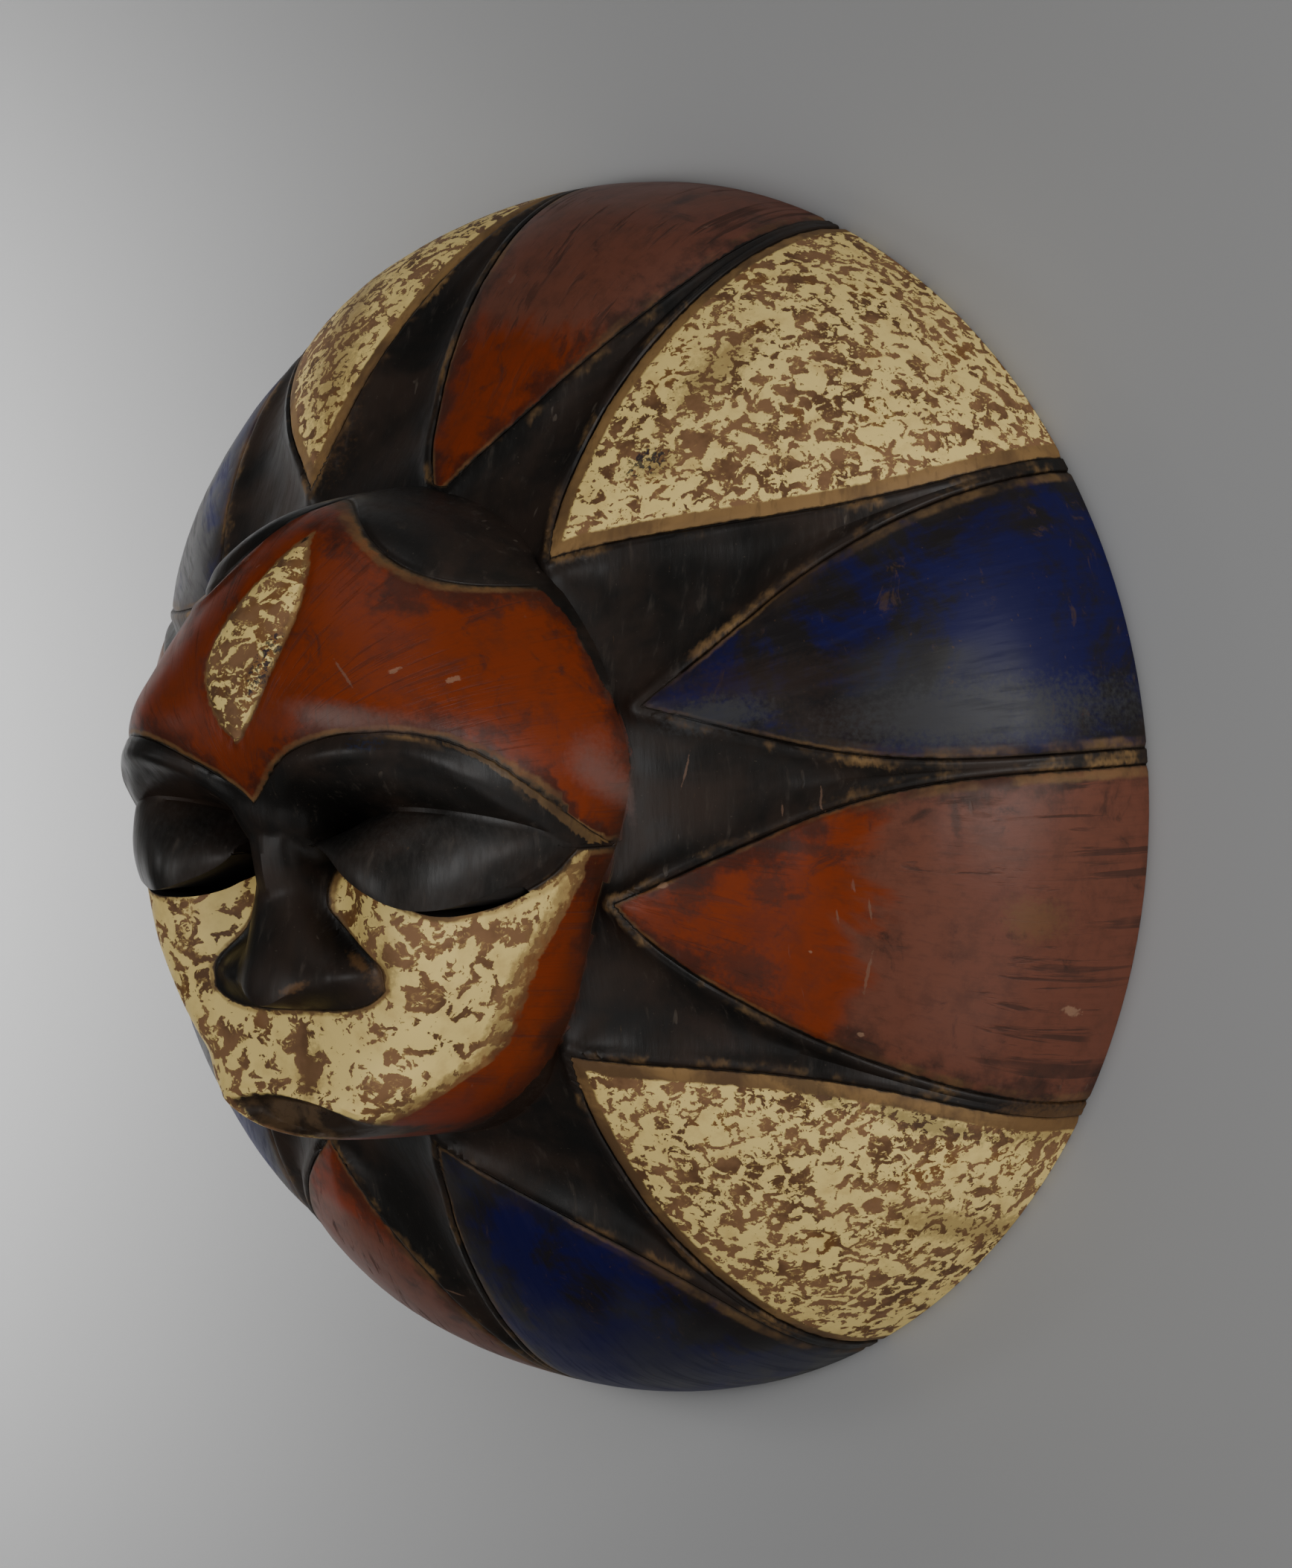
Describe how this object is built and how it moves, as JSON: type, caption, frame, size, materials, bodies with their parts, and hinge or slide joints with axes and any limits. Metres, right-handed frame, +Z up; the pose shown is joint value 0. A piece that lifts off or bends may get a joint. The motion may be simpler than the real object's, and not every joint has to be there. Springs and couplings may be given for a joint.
{
  "type": "round carved wooden mask",
  "caption": "Round carved and painted wooden mask with a raised face, closed lids over eye slits, a ring of petals and a hollow back, lying on its back.",
  "frame": {"origin": "middle of the flat underside of the back rim, where the mask rests", "axes": "+Z up out of the face, +Y towards the top of the head, +X towards the right of a viewer who looks at the face with its top up"},
  "size_m": [0.3998, 0.4069, 0.2026],
  "materials": {
    "wood": "satin brown-black stain with worn brown edges, and brick red, flaked cream and deep blue paint on the petals and the face"
  },
  "bodies": {
    "root": {"carved_mask": "wood"}
  },
  "joints": []
}
